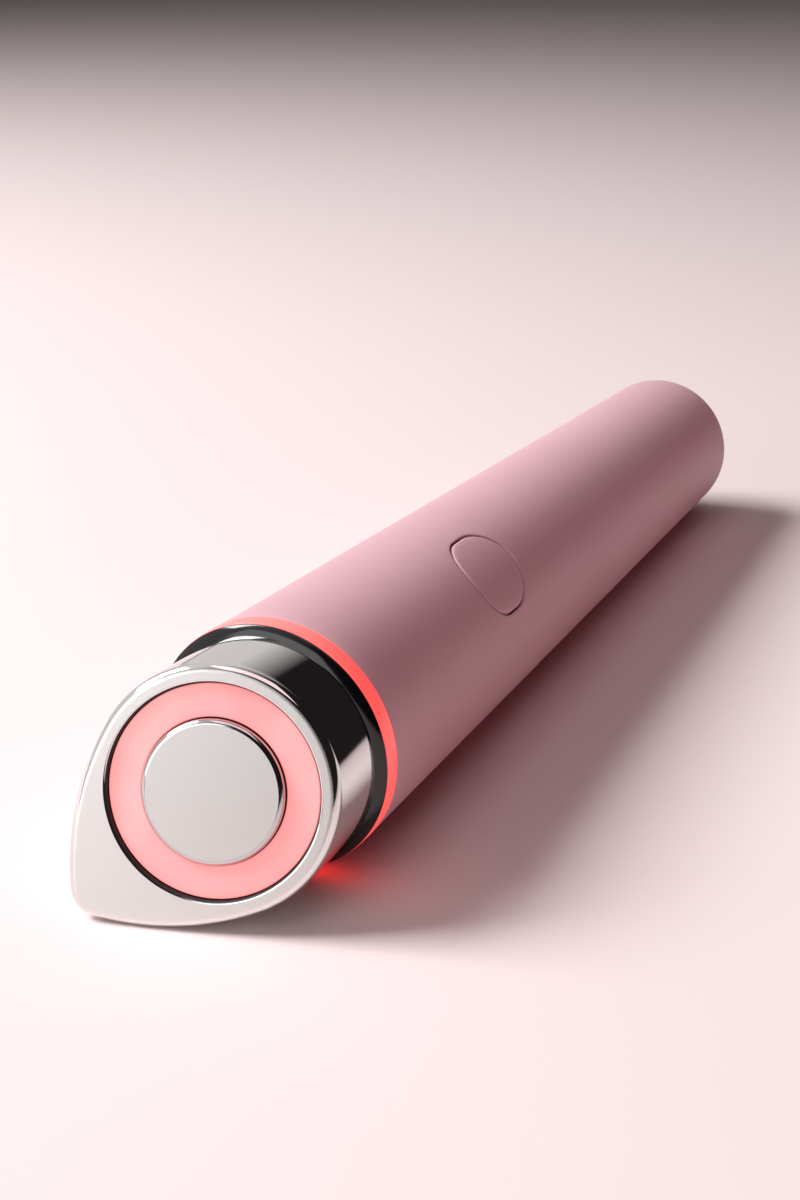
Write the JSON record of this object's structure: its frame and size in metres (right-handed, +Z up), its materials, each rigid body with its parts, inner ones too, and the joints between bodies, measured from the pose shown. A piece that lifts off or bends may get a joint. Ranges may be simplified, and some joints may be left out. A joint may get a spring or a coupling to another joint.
{
  "type": "skin booster device",
  "caption": "Hand-held skin booster wand: tapered handle with a flush button, glowing ring, black collar and a chrome teardrop head with a lit ring round a metal electrode.",
  "frame": {"origin": "centre of the footprint on the surface that the wand lies on", "axes": "+Z up; the wand lies along Y with its head towards -Y and its tail towards +Y; the button faces up and towards +X, at 45 degrees"},
  "size_m": [0.0306, 0.1678, 0.0303],
  "materials": {
    "soft_pink": "satin soft-touch lacquer on moulded plastic",
    "ring_red": "translucent light guide, lit red",
    "gloss_black": "gloss moulded plastic",
    "chrome_head": "polished chrome with a satin face",
    "lens_pink": "frosted clear plastic, lit from behind",
    "satin_steel": "fine satin",
    "rubber_dark": "matte",
    "brass": "machined",
    "steel": "plain",
    "board_white": "white solder mask",
    "board_green": "green solder mask",
    "lamp_yellow": "phosphor",
    "lamp_red": "clear package",
    "ivory_plastic": "moulded",
    "black_plastic": "moulded",
    "copper": "enamelled winding wire",
    "can_metal": "sleeved can",
    "cell_blue": "shrink sleeve",
    "wire_red": "insulation",
    "wire_blue": "insulation",
    "wire_gold": "insulation",
    "weight_metal": "sintered"
  },
  "bodies": {
    "root": {"handle_shell": "soft_pink", "end_cap": "soft_pink", "return_spring": "steel", "light_ring": "ring_red", "collar_ring": "gloss_black", "head_seal": "rubber_dark", "head_shell": "chrome_head", "lens_ring": "lens_pink", "centre_electrode": "satin_steel", "electrode_nut": "brass", "led_board": "board_white", "led_chips": "lamp_yellow", "head_screws": "steel", "collar_screws": "steel", "ring_board": "board_white", "ring_leds": "lamp_red", "chassis_tray": "ivory_plastic", "main_board": "board_green", "board_screws": "steel", "control_chips": "black_plastic", "switch_body": "black_plastic", "boost_coil": "copper", "boost_core": "black_plastic", "capacitors": "can_metal", "buzzer": "black_plastic", "battery_cell": "cell_blue", "battery_tabs": "steel", "battery_foam": "rubber_dark", "battery_leads": "wire_red", "usb_board": "board_green", "usb_socket": "steel", "motor_case": "steel", "motor_saddle": "rubber_dark", "motor_leads": "wire_blue", "electrode_lead": "wire_gold"},
    "button": {"power_button": "soft_pink"},
    "plunger": {"switch_plunger": "brass"},
    "rotor": {"motor_shaft": "steel", "eccentric_weight": "weight_metal"}
  },
  "joints": [
    {"name": "button_press", "type": "slide", "parent": "root", "child": "button", "axis": [-0.7009, -0.0148, -0.7131], "range_m": [0, 0.0003], "stiffness_N_per_m": 1500, "deforming": ["return_spring"]},
    {"name": "plunger_press", "type": "slide", "parent": "root", "child": "plunger", "axis": [-0.7009, -0.0148, -0.7131], "range_m": [0, 0.0003]},
    {"name": "motor_spin", "type": "hinge", "parent": "root", "child": "rotor", "pos_m": [-0.00298, -0.03632, 0.01141], "axis": [0, -0.9998, 0.0207], "continuous": true}
  ],
  "couplings": [
    {"joint": "plunger_press", "follows": "button_press", "ratio": 1}
  ]
}
